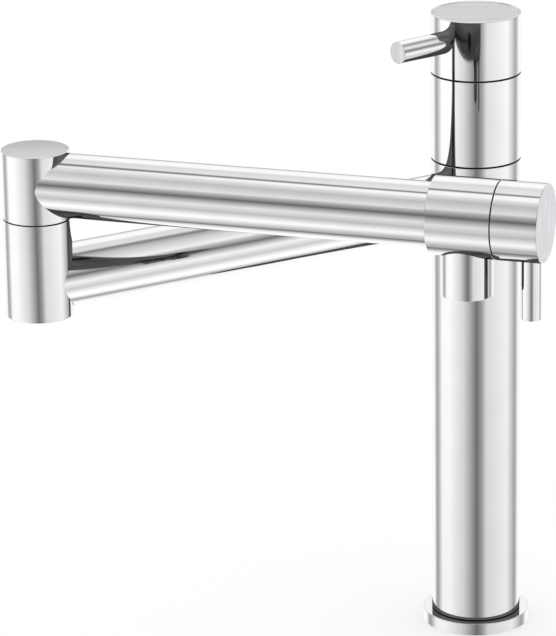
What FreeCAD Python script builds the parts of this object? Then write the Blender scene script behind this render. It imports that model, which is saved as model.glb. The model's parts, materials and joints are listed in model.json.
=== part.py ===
import FreeCAD, Part
import math
import os

# Kitchen tap with a two-jointed swivel spout. Millimetres, +Z up, deck surface at z = 0.
# The column stands on the origin. +X is right and -Y is towards a person at the sink.

# Outer sizes of the column
COLUMN_DIAMETER = 50.0
COLUMN_WALL = 2.0
FLANGE_DIAMETER = 60.0
FLANGE_HEIGHT = 7.0
REAR_ARM_HEIGHT = 251.0
COLLAR_LENGTH = 47.0
MIXER_BODY_LENGTH = 49.0
CAP_LENGTH = 33.5
COLUMN_SEAM_GAP = 0.9

# Outer sizes of the arms and the elbow
ARM_DIAMETER = 34.0
ARM_WALL = 2.0
REAR_ARM_LENGTH = 275.5
FRONT_ARM_RISE = 53.2
ELBOW_DIAMETER = 36.0
ARM_SEAM_GAP = 0.6
ELBOW_WALL = 3.0
ELBOW_END = 18.4
ELBOW_RIM = 1.0
ELBOW_CAP_THICKNESS = 4.0
ELBOW_PLUG_THICKNESS = 6.0

# Outer sizes of the valve, its knob and the outlet
OUTLET_REACH = 233.4
VALVE_DIAMETER = 41.0
VALVE_LENGTH = 34.2
KNOB_LENGTH = 24.3
KNOB_WALL = 3.0
OUTLET_DIAMETER = 27.0
OUTLET_DROP = 40.8
VALVE_LEVER_DIAMETER = 10.6
VALVE_LEVER_REACH = 51.2
VALVE_LEVER_FROM_END = 7.7

# Outer sizes of the handle
HANDLE_WALL = 3.0
HANDLE_LEVER_DIAMETER = 12.3
HANDLE_LEVER_REACH = 57.5
HANDLE_LEVER_BELOW_TOP = 13.3
CAP_RIM = 1.2
CAP_DISC_SINK = 0.25

# Rest pose, in degrees from +X about +Z
REAR_ARM_ANGLE = 210.9
FRONT_ARM_ANGLE = -18.2
HANDLE_ANGLE = -140.4

# Edge breaks
FLANGE_CHAMFER = 0.5
COLUMN_FOOT_CHAMFER = 0.9
EDGE_CHAMFER = 0.4

# Fits, all radial or axial clearances
RUNNING = 0.05
SCREWED = 0.05
AXIAL_PLAY = 0.1

# Fixing through the deck
SHANK_DIAMETER = 33.0
SHANK_WALL = 2.5
SHANK_SCREWED_DEPTH = 14.0
DECK_THICKNESS = 38.0
SHANK_BELOW_NUT = 5.0
WASHER_DIAMETER = 48.0
WASHER_THICKNESS = 2.0
NUT_ACROSS_FLATS = 41.0
NUT_HEIGHT = 9.0
GASKET_WIDTH = 4.0
GASKET_THICKNESS = 1.5
GASKET_FROM_EDGE = 2.0
FOOT_SPIGOT_DIAMETER = 40.0

# Inlets and riser tubes
INLET_SPACING = 14.0
INLET_THREAD_DIAMETER = 9.0
INLET_THREAD_LENGTH = 12.0
INLET_WEB = 2.0
RISER_DIAMETER = 10.0
RISER_WALL = 1.0
RISER_SOCKET = 8.0

# Swivel spindle inside the collar
SPINDLE_PLUG_LENGTH = 20.0
COLLAR_WALL = 5.0
BUSH_THICKNESS = 3.0
BUSH_LENGTH = 6.0
BUSH_FLANGE_INSET = 1.0
COLLAR_RING_SECTION = 2.4
COLLAR_RING_OFFSET = 13.0
CHAMBER_LENGTH = 10.0
CHAMBER_DEPTH = 2.5
COLLAR_PORT_DIAMETER = 9.0
FEED_CHANNEL_DIAMETER = 6.0
MIXED_CHANNEL_DIAMETER = 7.0
MIXED_PORT_DIAMETER = 6.0
SPIGOT_DIAMETER = 30.0

# Cartridge in the mixer body
CARTRIDGE_DIAMETER = 35.0
CARTRIDGE_WALL = 2.0
CARTRIDGE_BASE_HEIGHT = 6.0
CARTRIDGE_HEIGHT = 25.0
CARTRIDGE_RECESS = 11.2
CARTRIDGE_LID = 6.0
CARTRIDGE_NECK_DIAMETER = 22.0
CARTRIDGE_NECK_LENGTH = 7.0
CERAMIC_DISC_DIAMETER = 26.0
CERAMIC_DISC_THICKNESS = 3.0
PORT_SEAL_SECTION = 1.6
STEM_DIAMETER = 12.0
STEM_PLATE_THICKNESS = 2.5
CARTRIDGE_NUT_WIDTH = 2.5
CARTRIDGE_NUT_HEIGHT = 6.0

# Fastening of the two pin levers
HANDLE_BOSS_DIAMETER = 22.0
HANDLE_LEVER_SEAT = 5.0
HANDLE_SCREW_DIAMETER = 6.0
HANDLE_SCREW_LENGTH = 8.0
KNOB_BOSS_DIAMETER = 16.0
KNOB_LEVER_SEAT = 6.0
KNOB_SCREW_DIAMETER = 5.0
KNOB_SCREW_LENGTH = 5.0
LEVER_BOSS_WALL = 2.5

# Pivot inside the elbow
PIVOT_DIAMETER = 24.0
PIVOT_BORE = 16.0
PIVOT_ROOT = 6.0
PIVOT_RING_SECTION = 2.0
PIVOT_NUT_HEIGHT = 5.0
PIVOT_NUT_WIDTH = 2.5
THRUST_WASHER_THICKNESS = 1.0
ELBOW_PORT_DIAMETER = 22.0

# Inside of the valve
TUBE_SOCKET = 8.0
VALVE_WEB = 4.0
VALVE_PORT_DIAMETER = 12.0
HEADWORK_DIAMETER = 22.0
HEADWORK_FLANGE_DIAMETER = 26.0
HEADWORK_FLANGE_THICKNESS = 4.0
HEADWORK_NECK_DIAMETER = 14.0
HEADWORK_NECK_LENGTH = 5.0
HEADWORK_SEAL_THICKNESS = 1.2
HEADWORK_CAVITY_DIAMETER = 16.0
VALVE_DISC_THICKNESS = 2.5
VALVE_SPINDLE_DIAMETER = 8.0
VALVE_SPINDLE_PLATE = 3.5
VALVE_CHAMBER_DIAMETER = 28.0
VALVE_CHAMBER_LENGTH = 10.0
OUTLET_BORE = 16.0

# Aerator in the outlet nozzle
AERATOR_DIAMETER = 24.0
AERATOR_WALL = 2.0
AERATOR_HEIGHT = 10.0
AERATOR_RECESS = 0.4
AERATOR_WASHER_THICKNESS = 2.0
AERATOR_INSERT_HEIGHT = 5.0
AERATOR_HOLE_DIAMETER = 2.2
AERATOR_HOLE_PITCH = 3.4

# Radii and heights that follow from the sizes above
column_r = COLUMN_DIAMETER / 2
column_bore_r = column_r - COLUMN_WALL
arm_r = ARM_DIAMETER / 2
arm_bore_r = arm_r - ARM_WALL
elbow_r = ELBOW_DIAMETER / 2
elbow_bore_r = elbow_r - ELBOW_WALL
valve_r = VALVE_DIAMETER / 2
half_seam = COLUMN_SEAM_GAP / 2
ring_thickness = COLUMN_SEAM_GAP - AXIAL_PLAY
half_arm_seam = ARM_SEAM_GAP / 2
arm_ring_thickness = ARM_SEAM_GAP - AXIAL_PLAY

rear_z = REAR_ARM_HEIGHT
front_z = rear_z + FRONT_ARM_RISE
lower_seam_z = rear_z - COLLAR_LENGTH / 2
upper_seam_z = rear_z + COLLAR_LENGTH / 2
handle_seam_z = upper_seam_z + MIXER_BODY_LENGTH
top_z = handle_seam_z + CAP_LENGTH
elbow_foot_z = rear_z - ELBOW_END
elbow_seam_z = front_z - ELBOW_END
elbow_top_z = front_z + ELBOW_END
bearing_z = rear_z + ELBOW_END

column_top_z = lower_seam_z - half_seam
collar_low_z = lower_seam_z + half_seam
collar_high_z = upper_seam_z - half_seam
body_low_z = upper_seam_z + half_seam
body_high_z = handle_seam_z - half_seam
cap_low_z = handle_seam_z + half_seam

bush_r = column_r - COLLAR_WALL
spindle_r = bush_r - BUSH_THICKNESS
washer_low_z = -DECK_THICKNESS - 2 * WASHER_THICKNESS
nut_low_z = washer_low_z - NUT_HEIGHT
shank_low_z = nut_low_z - SHANK_BELOW_NUT
shank_r = SHANK_DIAMETER / 2
inlet_top_z = SHANK_SCREWED_DEPTH + INLET_THREAD_LENGTH
riser_low_z = inlet_top_z + INLET_WEB
foot_top_z = riser_low_z + RISER_SOCKET
plug_low_z = column_top_z - SPINDLE_PLUG_LENGTH
riser_high_z = plug_low_z + RISER_SOCKET

cartridge_high_z = body_high_z - CARTRIDGE_RECESS
cartridge_z = cartridge_high_z - CARTRIDGE_HEIGHT
disc_z = cartridge_z + CARTRIDGE_BASE_HEIGHT
moving_disc_z = disc_z + CERAMIC_DISC_THICKNESS + RUNNING
plate_z = moving_disc_z + CERAMIC_DISC_THICKNESS
cartridge_r = CARTRIDGE_DIAMETER / 2
nut_bore_r = cartridge_r + CARTRIDGE_NUT_WIDTH
lever_z = top_z - HANDLE_LEVER_BELOW_TOP
stem_r = STEM_DIAMETER / 2
stem_high_z = lever_z + HANDLE_SCREW_DIAMETER

pivot_r = PIVOT_DIAMETER / 2
pivot_nut_z = bearing_z - AXIAL_PLAY - THRUST_WASHER_THICKNESS - PIVOT_NUT_HEIGHT
pivot_high_z = elbow_seam_z + half_arm_seam + PIVOT_ROOT

valve_low_x = OUTLET_REACH - VALVE_LENGTH / 2
knob_seam_x = OUTLET_REACH + VALVE_LENGTH / 2
valve_high_x = knob_seam_x - half_arm_seam
knob_low_x = knob_seam_x + half_arm_seam
knob_high_x = knob_seam_x + KNOB_LENGTH
valve_lever_x = knob_high_x - VALVE_LEVER_FROM_END
web_x = valve_low_x + TUBE_SOCKET
headwork_x = web_x + VALVE_WEB
flange_x = valve_high_x - HEADWORK_FLANGE_THICKNESS
fixed_disc_x = headwork_x + HEADWORK_SEAL_THICKNESS
moving_disc_x = fixed_disc_x + VALVE_DISC_THICKNESS + RUNNING
spindle_plate_x = moving_disc_x + VALVE_DISC_THICKNESS
cavity_high_x = spindle_plate_x + VALVE_SPINDLE_PLATE + AXIAL_PLAY
neck_high_x = valve_high_x + HEADWORK_NECK_LENGTH
outlet_low_z = front_z - OUTLET_DROP
aerator_high_z = outlet_low_z + AERATOR_RECESS + AERATOR_HEIGHT

V = FreeCAD.Vector
Z = V(0, 0, 1)


# Shapes about the column's or the elbow's vertical axis

def rod(radius, low, high, low_chamfer=0.0, high_chamfer=0.0):
    """Upright cylinder on the Z axis, with a chamfer at either end."""
    points = [V(0, 0, low), V(radius - low_chamfer, 0, low)]
    if low_chamfer:
        points.append(V(radius, 0, low + low_chamfer))
    if high_chamfer:
        points.append(V(radius, 0, high - high_chamfer))
    points += [V(radius - high_chamfer, 0, high), V(0, 0, high), V(0, 0, low)]
    face = Part.Face(Part.makePolygon(points))
    return face.revolve(V(0, 0, 0), Z, 360)


def tube(radius, bore, low, high, low_chamfer=0.0, high_chamfer=0.0):
    """Upright ring or tube on the Z axis."""
    return rod(radius, low, high, low_chamfer, high_chamfer).cut(rod(bore, low - 1, high + 1))


def hole(radius, low, high, x=0.0, y=0.0):
    """Upright cylinder anywhere, for holes and small pins."""
    return Part.makeCylinder(radius, high - low, V(x, y, low))


def o_ring(outer_radius, section, z):
    """Round sealing ring whose outside touches the outer radius."""
    return Part.makeTorus(outer_radius - section / 2, section / 2, V(0, 0, z))


def ring_groove(outer_radius, section, z):
    """Groove for a sealing ring, a little wider than the ring."""
    half = section * 0.65
    return tube(outer_radius + 1, outer_radius - section, z - half, z + half)


# Shapes about the front arm's level axis, and placing of each moving group

def bar(radius, start, end, z, start_chamfer=0.0, end_chamfer=0.0):
    """Level cylinder along X at height z, with a chamfer at either end."""
    shape = rod(radius, start, end, start_chamfer, end_chamfer)
    shape.rotate(V(0, 0, 0), V(0, 1, 0), 90)
    shape.translate(V(0, 0, z))
    return shape


def pipe(radius, bore, start, end, z, start_chamfer=0.0, end_chamfer=0.0):
    """Level ring or tube along X at height z."""
    return bar(radius, start, end, z, start_chamfer, end_chamfer).cut(bar(bore, start - 1, end + 1, z))


def turned(shape, angle, x=0.0, y=0.0):
    """The shape turned about the vertical axis and moved to its joint."""
    shape = shape.copy()
    shape.rotate(V(0, 0, 0), Z, angle)
    shape.translate(V(x, y, 0))
    return shape


def on_handle(shape):
    return turned(shape, HANDLE_ANGLE)


def on_rear_arm(shape):
    return turned(shape, REAR_ARM_ANGLE)


def on_front_arm(shape):
    angle = math.radians(REAR_ARM_ANGLE)
    elbow_x = REAR_ARM_LENGTH * math.cos(angle)
    elbow_y = REAR_ARM_LENGTH * math.sin(angle)
    return turned(shape, FRONT_ARM_ANGLE, elbow_x, elbow_y)


# Fixing through the deck

def base_flange():
    gasket_outer = FLANGE_DIAMETER / 2 - GASKET_FROM_EDGE
    body = tube(FLANGE_DIAMETER / 2, FOOT_SPIGOT_DIAMETER / 2, 0, FLANGE_HEIGHT, 0, FLANGE_CHAMFER)
    return body.cut(tube(gasket_outer, gasket_outer - GASKET_WIDTH, -1, GASKET_THICKNESS))


def base_gasket():
    outer = FLANGE_DIAMETER / 2 - GASKET_FROM_EDGE
    return tube(outer - RUNNING, outer - GASKET_WIDTH + RUNNING, 0, GASKET_THICKNESS)


def inlet_pair(radius, low, high):
    half = INLET_SPACING / 2
    return hole(radius, low, high, -half).fuse(hole(radius, low, high, half))


def column_foot():
    body = rod(column_bore_r - RUNNING, FLANGE_HEIGHT, foot_top_z, 0, EDGE_CHAMFER)
    body = body.fuse(rod(FOOT_SPIGOT_DIAMETER / 2 - RUNNING, 0, FLANGE_HEIGHT))
    body = body.cut(rod(shank_r + SCREWED, -1, SHANK_SCREWED_DEPTH))
    body = body.cut(inlet_pair(INLET_THREAD_DIAMETER / 2, SHANK_SCREWED_DEPTH, inlet_top_z))
    body = body.cut(inlet_pair(FEED_CHANNEL_DIAMETER / 2, inlet_top_z, riser_low_z))
    return body.cut(inlet_pair(RISER_DIAMETER / 2, riser_low_z, foot_top_z + 1)).removeSplitter()


def threaded_shank():
    return tube(shank_r, shank_r - SHANK_WALL, shank_low_z, SHANK_SCREWED_DEPTH, EDGE_CHAMFER, EDGE_CHAMFER)


def washer(high):
    return tube(WASHER_DIAMETER / 2, shank_r + SCREWED, high - WASHER_THICKNESS, high)


def deck_rubber_washer():
    return washer(-DECK_THICKNESS)


def deck_clamp_washer():
    return washer(-DECK_THICKNESS - WASHER_THICKNESS)


def backnut():
    corner = NUT_ACROSS_FLATS / 2 / math.cos(math.pi / 6)
    points = []
    for side in range(7):
        angle = math.radians(60 * side)
        points.append(V(corner * math.cos(angle), corner * math.sin(angle), nut_low_z))
    body = Part.Face(Part.makePolygon(points)).extrude(V(0, 0, NUT_HEIGHT))
    return body.cut(rod(shank_r + SCREWED, nut_low_z - 1, washer_low_z + 1))


# Column and swivel spindle

def column_tube():
    return tube(column_r, column_bore_r, FLANGE_HEIGHT, column_top_z, COLUMN_FOOT_CHAMFER, EDGE_CHAMFER / 2)


def riser_tube(side):
    x = side * INLET_SPACING / 2
    body = hole(RISER_DIAMETER / 2, riser_low_z, riser_high_z, x)
    return body.cut(hole(RISER_DIAMETER / 2 - RISER_WALL, riser_low_z - 1, riser_high_z + 1, x))


def cold_riser_tube():
    return riser_tube(1)


def hot_riser_tube():
    return riser_tube(-1)


def swivel_spindle():
    body = rod(column_bore_r - RUNNING, plug_low_z, column_top_z, EDGE_CHAMFER, 0)
    body = body.fuse(rod(spindle_r, column_top_z, body_low_z))
    body = body.fuse(rod(SPIGOT_DIAMETER / 2, body_low_z, cartridge_z))
    body = body.cut(inlet_pair(RISER_DIAMETER / 2, plug_low_z - 1, riser_high_z))
    body = body.cut(inlet_pair(FEED_CHANNEL_DIAMETER / 2, riser_high_z, cartridge_z + 1))
    mixed_y = INLET_SPACING / 2
    mixed_r = MIXED_CHANNEL_DIAMETER / 2
    body = body.cut(hole(mixed_r, rear_z - mixed_r, cartridge_z + 1, 0, mixed_y))
    port = Part.makeCylinder(MIXED_PORT_DIAMETER / 2, spindle_r, V(0, mixed_y, rear_z), V(0, 1, 0))
    body = body.cut(port)
    half = CHAMBER_LENGTH / 2
    body = body.cut(tube(spindle_r + 1, spindle_r - CHAMBER_DEPTH, rear_z - half, rear_z + half))
    for side in (-1, 1):
        body = body.cut(ring_groove(spindle_r, COLLAR_RING_SECTION, rear_z + side * COLLAR_RING_OFFSET))
    return body.removeSplitter()


def collar_o_rings():
    low = o_ring(spindle_r, COLLAR_RING_SECTION, rear_z - COLLAR_RING_OFFSET)
    high = o_ring(spindle_r, COLLAR_RING_SECTION, rear_z + COLLAR_RING_OFFSET)
    return Part.makeCompound([low, high])


def lower_slide_bush():
    flange = tube(column_r - BUSH_FLANGE_INSET, spindle_r, column_top_z, column_top_z + ring_thickness)
    sleeve_high = collar_low_z + BUSH_LENGTH - AXIAL_PLAY
    sleeve = tube(bush_r - RUNNING, spindle_r, column_top_z, sleeve_high)
    return flange.fuse(sleeve).removeSplitter()


def upper_slide_bush():
    flange = tube(column_r - BUSH_FLANGE_INSET, spindle_r, body_low_z - ring_thickness, body_low_z)
    sleeve_low = collar_high_z - BUSH_LENGTH + AXIAL_PLAY
    sleeve = tube(bush_r - RUNNING, spindle_r, sleeve_low, body_low_z)
    return flange.fuse(sleeve).removeSplitter()


# Mixer body and cartridge

def mixer_body():
    chamfer = EDGE_CHAMFER / 2
    body = rod(column_r, body_low_z, body_high_z, chamfer, chamfer)
    body = body.cut(rod(SPIGOT_DIAMETER / 2 + SCREWED, body_low_z - 1, cartridge_z))
    body = body.cut(rod(cartridge_r + RUNNING, cartridge_z, cartridge_high_z))
    return body.cut(rod(nut_bore_r, cartridge_high_z, body_high_z + 1)).removeSplitter()


def port_places():
    half = INLET_SPACING / 2
    return [(-half, 0.0), (half, 0.0), (0.0, half)]


def cartridge_base():
    body = rod(cartridge_r, cartridge_z, disc_z)
    for x, y in port_places():
        body = body.cut(hole(FEED_CHANNEL_DIAMETER / 2, cartridge_z - 1, disc_z + 1, x, y))
        seat_r = FEED_CHANNEL_DIAMETER / 2 + PORT_SEAL_SECTION / 2
        body = body.cut(hole(seat_r, cartridge_z - 1, cartridge_z + PORT_SEAL_SECTION, x, y))
    return body


def cartridge_seals():
    rings = []
    for x, y in port_places():
        inner_r = FEED_CHANNEL_DIAMETER / 2
        ring = hole(inner_r + PORT_SEAL_SECTION / 2, cartridge_z, cartridge_z + PORT_SEAL_SECTION, x, y)
        rings.append(ring.cut(hole(inner_r, cartridge_z - 1, disc_z, x, y)))
    return Part.makeCompound(rings)


def fixed_ceramic_disc():
    body = rod(CERAMIC_DISC_DIAMETER / 2, disc_z, disc_z + CERAMIC_DISC_THICKNESS)
    for x, y in port_places():
        body = body.cut(hole(FEED_CHANNEL_DIAMETER / 2, disc_z - 1, moving_disc_z, x, y))
    return body


def cartridge_housing():
    lid_z = cartridge_high_z - CARTRIDGE_LID
    body = rod(cartridge_r, disc_z, cartridge_high_z)
    body = body.cut(rod(cartridge_r - CARTRIDGE_WALL, disc_z - 1, lid_z))
    neck_high_z = cartridge_high_z + CARTRIDGE_NECK_LENGTH
    body = body.fuse(rod(CARTRIDGE_NECK_DIAMETER / 2, lid_z, neck_high_z, 0, EDGE_CHAMFER))
    return body.cut(rod(stem_r + RUNNING, lid_z - 1, neck_high_z + 1)).removeSplitter()


def cartridge_nut():
    low = cartridge_high_z
    inner = CARTRIDGE_NECK_DIAMETER / 2 + SCREWED
    return tube(nut_bore_r - SCREWED, inner, low, low + CARTRIDGE_NUT_HEIGHT, 0, EDGE_CHAMFER)


def handle_slide_ring():
    return tube(column_r - BUSH_FLANGE_INSET, nut_bore_r, body_high_z, body_high_z + ring_thickness)


# Handle, built with its lever along +X

def moving_ceramic_disc():
    body = rod(CERAMIC_DISC_DIAMETER / 2, moving_disc_z, plate_z)
    corner = V(-INLET_SPACING / 2, 0, moving_disc_z - 0.5)
    slot = Part.makeBox(INLET_SPACING, FEED_CHANNEL_DIAMETER, 1.5, corner)
    return on_handle(body.cut(slot))


def cartridge_stem():
    plate = rod(CERAMIC_DISC_DIAMETER / 2 - RUNNING, plate_z, plate_z + STEM_PLATE_THICKNESS)
    stem = rod(stem_r, plate_z, stem_high_z, 0, EDGE_CHAMFER)
    return on_handle(plate.fuse(stem).removeSplitter())


def handle_cap():
    pocket_high = top_z - HANDLE_WALL
    body = rod(column_r, cap_low_z, top_z, EDGE_CHAMFER / 2, EDGE_CHAMFER)
    body = body.cut(rod(column_r - CAP_RIM, top_z - CAP_DISC_SINK, top_z + 1, CAP_DISC_SINK, 0))
    pocket = rod(column_r - HANDLE_WALL, cap_low_z - 1, pocket_high)
    boss = rod(HANDLE_BOSS_DIAMETER / 2, cap_low_z + HANDLE_WALL, pocket_high)
    lever_boss = bar(HANDLE_LEVER_DIAMETER / 2 + LEVER_BOSS_WALL, 0, column_r - HANDLE_WALL / 2, lever_z)
    body = body.cut(pocket.cut(boss).cut(lever_boss))
    body = body.cut(rod(stem_r, cap_low_z - 1, stem_high_z))
    seat_x = column_r - HANDLE_LEVER_SEAT
    body = body.cut(bar(HANDLE_SCREW_DIAMETER / 2, 0, seat_x, lever_z))
    body = body.cut(bar(HANDLE_LEVER_DIAMETER / 2, seat_x, column_r + 1, lever_z))
    return on_handle(body.removeSplitter())


def handle_grub_screw():
    end = stem_r + HANDLE_SCREW_LENGTH
    return on_handle(bar(HANDLE_SCREW_DIAMETER / 2, stem_r, end, lever_z, EDGE_CHAMFER, 0))


def handle_lever():
    seat_x = column_r - HANDLE_LEVER_SEAT
    pin = bar(HANDLE_LEVER_DIAMETER / 2, seat_x, HANDLE_LEVER_REACH, lever_z, 0, EDGE_CHAMFER)
    tail = bar(HANDLE_SCREW_DIAMETER / 2, stem_r + HANDLE_SCREW_LENGTH, seat_x, lever_z)
    return on_handle(pin.fuse(tail).removeSplitter())


# Rear arm, built along +X from the column's axis

def swivel_collar():
    chamfer = EDGE_CHAMFER / 2
    body = tube(column_r, spindle_r + RUNNING, collar_low_z, collar_high_z, chamfer, chamfer)
    body = body.cut(rod(bush_r, collar_low_z - 1, collar_low_z + BUSH_LENGTH))
    body = body.cut(rod(bush_r, collar_high_z - BUSH_LENGTH, collar_high_z + 1))
    half = CHAMBER_LENGTH / 2
    body = body.cut(rod(spindle_r + CHAMBER_DEPTH, rear_z - half, rear_z + half))
    body = body.cut(bar(COLLAR_PORT_DIAMETER / 2, spindle_r, column_r + 1, rear_z))
    return on_rear_arm(body.removeSplitter())


def rear_tube():
    body = pipe(arm_r, arm_bore_r, 0, REAR_ARM_LENGTH, rear_z)
    body = body.cut(rod(column_r, rear_z - column_r, rear_z + column_r))
    elbow = rod(elbow_r, rear_z - column_r, rear_z + column_r)
    elbow.translate(V(REAR_ARM_LENGTH, 0, 0))
    return on_rear_arm(body.cut(elbow).removeSplitter())


def at_elbow(shape):
    shape.translate(V(REAR_ARM_LENGTH, 0, 0))
    return on_rear_arm(shape)


def lower_elbow():
    high = elbow_seam_z - half_arm_seam
    body = rod(elbow_r, elbow_foot_z, high, EDGE_CHAMFER, EDGE_CHAMFER / 2)
    body = body.cut(rod(elbow_bore_r, elbow_foot_z - 1, bearing_z))
    body = body.cut(rod(pivot_r + RUNNING, bearing_z - 1, high + 1))
    body = body.cut(bar(ELBOW_PORT_DIAMETER / 2, -elbow_r - 1, 0, rear_z))
    return at_elbow(body.removeSplitter())


def plug_ring_z():
    return elbow_foot_z + ELBOW_PLUG_THICKNESS / 2


def lower_elbow_plug():
    outer = elbow_bore_r - SCREWED
    body = rod(outer, elbow_foot_z, elbow_foot_z + ELBOW_PLUG_THICKNESS, EDGE_CHAMFER / 2, EDGE_CHAMFER / 2)
    slot = Part.makeBox(2 * outer, 2.0, 2.0, V(-outer, -1.0, elbow_foot_z - 0.5))
    body = body.cut(slot.common(rod(outer * 0.6, elbow_foot_z - 1, elbow_foot_z + 2)))
    return at_elbow(body.cut(ring_groove(outer, PIVOT_RING_SECTION, plug_ring_z())))


def plug_o_ring():
    return at_elbow(o_ring(elbow_bore_r - SCREWED, PIVOT_RING_SECTION, plug_ring_z()))


def pivot_slide_washer():
    low = elbow_seam_z - half_arm_seam
    return at_elbow(tube(elbow_r - BUSH_FLANGE_INSET, pivot_r + RUNNING, low, low + arm_ring_thickness))


# Front arm, built along +X from the elbow's axis

def upper_elbow():
    low = elbow_seam_z + half_arm_seam
    cap_z = elbow_top_z - ELBOW_CAP_THICKNESS
    body = rod(elbow_r, low, elbow_top_z, EDGE_CHAMFER / 2, EDGE_CHAMFER)
    body = body.cut(rod(pivot_r, low - 1, pivot_high_z))
    body = body.cut(rod(elbow_bore_r, pivot_high_z, cap_z))
    body = body.cut(rod(elbow_r - ELBOW_RIM, cap_z, elbow_top_z + 1))
    return on_front_arm(body.cut(bar(ELBOW_PORT_DIAMETER / 2, 0, elbow_r + 1, front_z)).removeSplitter())


def cap_ring_z():
    return elbow_top_z - ELBOW_CAP_THICKNESS / 2


def elbow_cap():
    outer = elbow_r - ELBOW_RIM - SCREWED
    body = rod(outer, elbow_top_z - ELBOW_CAP_THICKNESS, elbow_top_z)
    return on_front_arm(body.cut(ring_groove(outer, PIVOT_RING_SECTION, cap_ring_z())))


def elbow_cap_o_ring():
    return on_front_arm(o_ring(elbow_r - ELBOW_RIM - SCREWED, PIVOT_RING_SECTION, cap_ring_z()))


def pivot_ring_places():
    length = elbow_seam_z - half_arm_seam - bearing_z
    return [bearing_z + length * 0.3, bearing_z + length * 0.7]


def elbow_pivot():
    body = tube(pivot_r, PIVOT_BORE / 2, pivot_nut_z, pivot_high_z, EDGE_CHAMFER, 0)
    for z in pivot_ring_places():
        body = body.cut(ring_groove(pivot_r, PIVOT_RING_SECTION, z))
    return on_front_arm(body)


def pivot_o_rings():
    rings = [o_ring(pivot_r, PIVOT_RING_SECTION, z) for z in pivot_ring_places()]
    return on_front_arm(Part.makeCompound(rings))


def pivot_thrust_washer():
    low = pivot_nut_z + PIVOT_NUT_HEIGHT
    return on_front_arm(tube(pivot_r + PIVOT_NUT_WIDTH, pivot_r, low, low + THRUST_WASHER_THICKNESS))


def pivot_nut():
    return on_front_arm(tube(pivot_r + PIVOT_NUT_WIDTH, pivot_r, pivot_nut_z, pivot_nut_z + PIVOT_NUT_HEIGHT))


def front_tube():
    body = pipe(arm_r, arm_bore_r, 0, web_x, front_z)
    return on_front_arm(body.cut(rod(elbow_r, front_z - column_r, front_z + column_r)).removeSplitter())


def valve_body():
    body = bar(valve_r, valve_low_x, valve_high_x, front_z, EDGE_CHAMFER, EDGE_CHAMFER / 2)
    body = body.cut(bar(arm_r, valve_low_x - 1, web_x, front_z))
    body = body.cut(bar(VALVE_PORT_DIAMETER / 2, web_x - 1, headwork_x + 1, front_z))
    body = body.cut(bar(HEADWORK_DIAMETER / 2 + SCREWED, headwork_x, valve_high_x, front_z))
    body = body.cut(bar(HEADWORK_FLANGE_DIAMETER / 2 + SCREWED, flange_x, valve_high_x + 1, front_z))
    chamber_x = fixed_disc_x + VALVE_DISC_THICKNESS
    body = body.cut(bar(VALVE_CHAMBER_DIAMETER / 2, chamber_x, chamber_x + VALVE_CHAMBER_LENGTH, front_z))
    outlet = hole(OUTLET_BORE / 2 - 1, front_z - valve_r - 1, front_z, chamber_x + VALVE_CHAMBER_LENGTH / 2)
    return on_front_arm(body.cut(outlet.cut(bar(HEADWORK_DIAMETER / 2, 0, knob_high_x, front_z))))


def headwork_body():
    body = bar(HEADWORK_DIAMETER / 2, headwork_x, flange_x, front_z)
    body = body.fuse(bar(HEADWORK_FLANGE_DIAMETER / 2, flange_x, valve_high_x, front_z))
    body = body.fuse(bar(HEADWORK_NECK_DIAMETER / 2, valve_high_x, neck_high_x, front_z, 0, EDGE_CHAMFER))
    cavity_r = HEADWORK_CAVITY_DIAMETER / 2
    body = body.cut(bar(cavity_r + RUNNING, headwork_x - 1, cavity_high_x, front_z))
    body = body.cut(bar(VALVE_SPINDLE_DIAMETER / 2 + RUNNING, cavity_high_x - 1, neck_high_x + 1, front_z))
    window = Part.makeBox(VALVE_SPINDLE_PLATE, cavity_r, HEADWORK_DIAMETER + 2)
    window.translate(V(spindle_plate_x, -cavity_r / 2, front_z - HEADWORK_DIAMETER / 2 - 1))
    return on_front_arm(body.cut(window).removeSplitter())


def headwork_seal():
    inner = VALVE_PORT_DIAMETER / 2
    return on_front_arm(pipe(HEADWORK_CAVITY_DIAMETER / 2, inner, headwork_x, fixed_disc_x, front_z))


def half_moon(radius, start, end):
    """Half of a disc, on the upper side of the arm's axis."""
    upper = Part.makeBox(end - start + 2, 2 * radius, radius, V(start - 1, -radius, front_z + 0.5))
    return bar(radius, start, end, front_z).common(upper)


def valve_disc(start):
    end = start + VALVE_DISC_THICKNESS
    body = bar(HEADWORK_CAVITY_DIAMETER / 2, start, end, front_z)
    return body.cut(half_moon(VALVE_PORT_DIAMETER / 2, start - 1, end + 1))


def valve_fixed_disc():
    return on_front_arm(valve_disc(fixed_disc_x))


def knob_slide_ring():
    outer = valve_r - BUSH_FLANGE_INSET
    inner = HEADWORK_FLANGE_DIAMETER / 2
    return on_front_arm(pipe(outer, inner, valve_high_x, valve_high_x + arm_ring_thickness, front_z))


def outlet_nozzle():
    nozzle_r = OUTLET_DIAMETER / 2
    body = rod(nozzle_r, outlet_low_z, front_z, EDGE_CHAMFER, 0)
    body = body.cut(rod(OUTLET_BORE / 2, outlet_low_z - 1, front_z + 1))
    body = body.cut(rod(AERATOR_DIAMETER / 2, outlet_low_z - 1, aerator_high_z + AERATOR_WASHER_THICKNESS))
    body.translate(V(OUTLET_REACH, 0, 0))
    return on_front_arm(body.cut(bar(valve_r, valve_low_x - 1, knob_high_x, front_z)))


def at_outlet(shape):
    shape.translate(V(OUTLET_REACH, 0, 0))
    return on_front_arm(shape)


def aerator_washer():
    outer = AERATOR_DIAMETER / 2 - SCREWED
    high = aerator_high_z + AERATOR_WASHER_THICKNESS
    return at_outlet(tube(outer, outer - 2 * AERATOR_WALL, aerator_high_z, high))


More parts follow.
